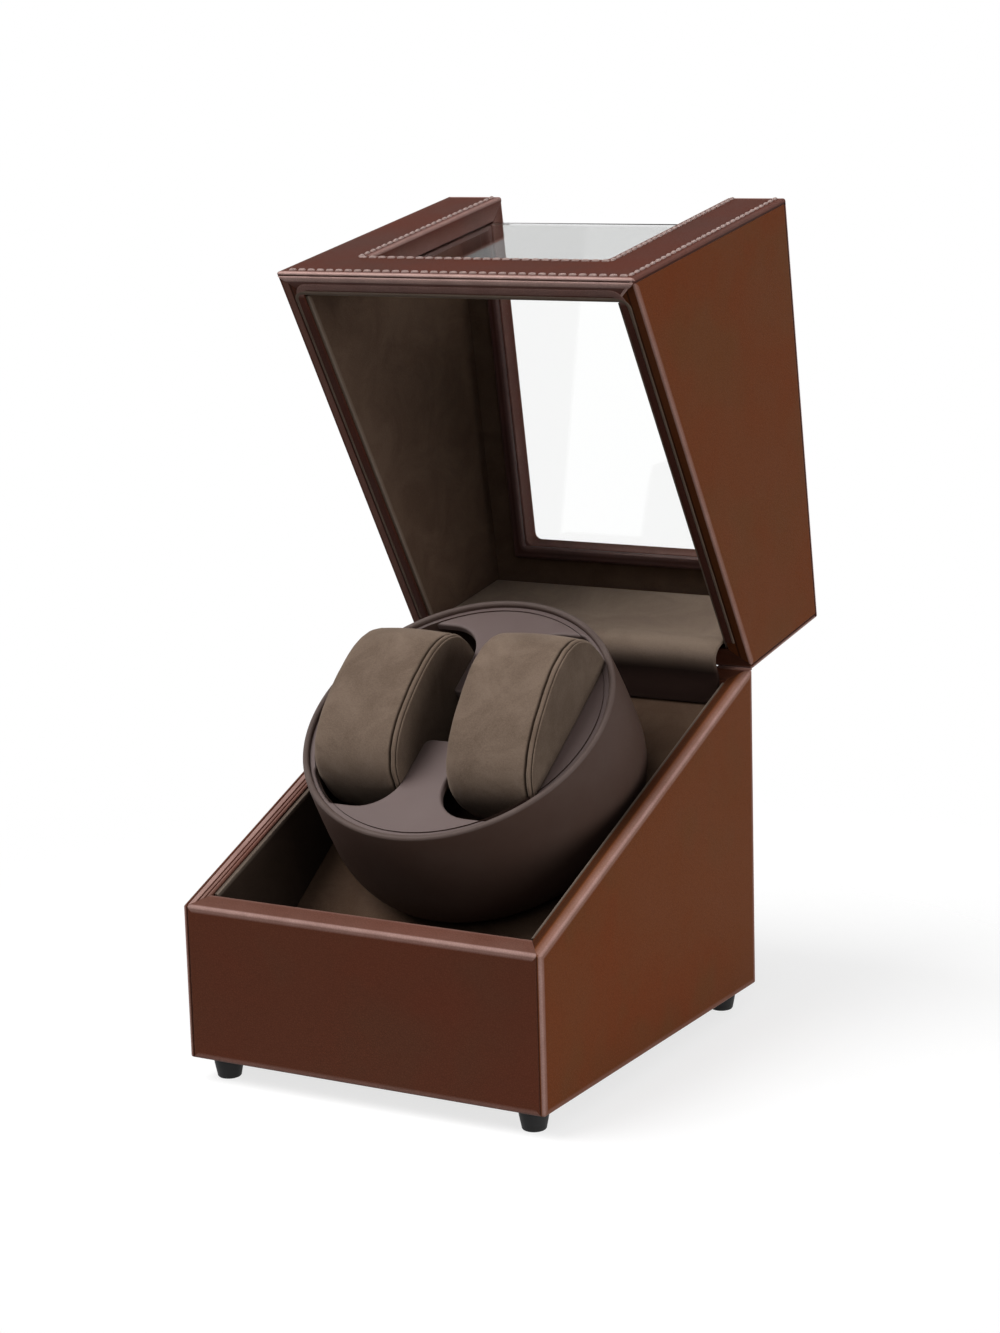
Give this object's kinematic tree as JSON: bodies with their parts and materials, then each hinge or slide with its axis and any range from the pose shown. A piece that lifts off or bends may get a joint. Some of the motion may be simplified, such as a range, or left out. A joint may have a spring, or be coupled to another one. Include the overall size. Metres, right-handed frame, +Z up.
{
  "type": "watch winder",
  "caption": "Leather covered watch winder with a tilted motor driven turntable for watch pillows and a hinged lid with a glazed corner window, standing open.",
  "frame": {"origin": "on the table, under the middle of the open winder's bounding box", "axes": "+Z up, +Y towards the rear (the lid opens that way), +X to the right of someone who faces the front"},
  "size_m": [0.17, 0.261, 0.3524],
  "materials": {
    "case_leather": "smooth brown leather, satin",
    "lid_leather": "smooth brown leather with pale stitching, satin",
    "bead_leather": "dark brown leather over a strip",
    "lining_suede": "dark brown suede",
    "flap_suede": "brown suede, padded",
    "pillow_suede": "taupe suede over foam",
    "bowl_plastic": "warm grey brown soft touch",
    "tray_plastic": "warm grey brown soft touch",
    "foot_rubber": "black moulded rubber",
    "belt_rubber": "black round belt",
    "clear_glass": "clear, polished",
    "board": "plain fibreboard",
    "hinge_steel": "bright steel",
    "motor_steel": "plated steel can",
    "bush_brass": "turned brass",
    "black_plastic": "moulded, fine texture",
    "knob_plastic": "moulded, fluted",
    "rocker_plastic": "polished",
    "circuit_board": "green laminate",
    "lead_plastic": "flexible sheath",
    "cradle_foam": "closed cell foam"
  },
  "bodies": {
    "base": {"base_front_board": "case_leather", "base_rear_board": "case_leather", "base_left_side": "case_leather", "base_right_side": "case_leather", "base_bottom_board": "board", "foot_front_left": "foot_rubber", "foot_front_right": "foot_rubber", "foot_rear_left": "foot_rubber", "foot_rear_right": "foot_rubber", "deck_panel": "lining_suede", "deck_batten_left": "board", "deck_batten_right": "board", "base_lining_front": "lining_suede", "base_lining_left": "lining_suede", "base_lining_right": "lining_suede", "hinge_flap": "flap_suede", "hinge_base_leaf_left": "hinge_steel", "hinge_base_leaf_right": "hinge_steel", "hinge_pin_left": "hinge_steel", "hinge_pin_right": "hinge_steel", "drive_chassis": "black_plastic", "spindle_bush": "bush_brass", "gearbox": "motor_steel", "motor": "motor_steel", "drive_belt": "belt_rubber", "control_panel": "black_plastic", "power_inlet": "black_plastic", "switch_housing": "black_plastic", "mode_switch": "motor_steel", "circuit_board": "circuit_board", "motor_lead": "lead_plastic"},
    "lid": {"lid_front_frame": "lid_leather", "lid_top_frame": "lid_leather", "lid_left_side": "case_leather", "lid_right_side": "case_leather", "lid_rear_board": "case_leather", "glass_front": "clear_glass", "glass_top": "clear_glass", "window_bead_front": "bead_leather", "window_bead_top": "bead_leather", "lid_lining_left": "lining_suede", "lid_lining_right": "lining_suede", "lid_lining_front": "lining_suede", "lid_lining_top": "lining_suede", "hinge_lid_leaf_left": "hinge_steel", "hinge_lid_leaf_right": "hinge_steel"},
    "turntable": {"bowl": "bowl_plastic", "pillow_tray": "tray_plastic", "pillow_cradle_left": "cradle_foam", "pillow_cradle_right": "cradle_foam", "turntable_hub": "black_plastic", "spindle": "hinge_steel", "spindle_nut": "hinge_steel", "drive_pulley": "black_plastic"},
    "motor_output": {"motor_shaft": "hinge_steel", "motor_pulley": "bush_brass"},
    "left_pillow": {"pillow_left": "pillow_suede"},
    "right_pillow": {"pillow_right": "pillow_suede"},
    "knob": {"mode_knob": "knob_plastic"},
    "rocker": {"power_rocker": "rocker_plastic"}
  },
  "joints": [
    {"name": "lid_hinge", "type": "hinge", "parent": "base", "child": "lid", "pos_m": [0, 0.06143, 0.152], "axis": [1, 0, 0], "range_deg": [0, 81], "deforming": ["hinge_flap"]},
    {"name": "turntable_spin", "type": "hinge", "parent": "base", "child": "turntable", "pos_m": [0, -0.04727, 0.1468], "axis": [0, -0.5678, 0.8231], "continuous": true},
    {"name": "motor_output_spin", "type": "hinge", "parent": "base", "child": "motor_output", "pos_m": [-0.046, -0.04727, 0.1468], "axis": [0, -0.5678, 0.8231], "continuous": true},
    {"name": "left_pillow_lift", "type": "slide", "parent": "turntable", "child": "left_pillow", "axis": [0, -0.5678, 0.8231], "range_m": [0, 0.034]},
    {"name": "right_pillow_lift", "type": "slide", "parent": "turntable", "child": "right_pillow", "axis": [0, -0.5678, 0.8231], "range_m": [0, 0.034]},
    {"name": "mode_knob_turn", "type": "hinge", "parent": "base", "child": "knob", "pos_m": [0.0265, 0.06143, 0.044], "axis": [0, 1, 0], "range_deg": [-60, 60]},
    {"name": "power_rocker_tip", "type": "hinge", "parent": "base", "child": "rocker", "pos_m": [0, 0.05963, 0.044], "axis": [-1, 0, 0], "range_deg": [0, 20]}
  ],
  "couplings": [
    {"joint": "motor_output_spin", "follows": "turntable_spin", "ratio": 2.7949}
  ]
}
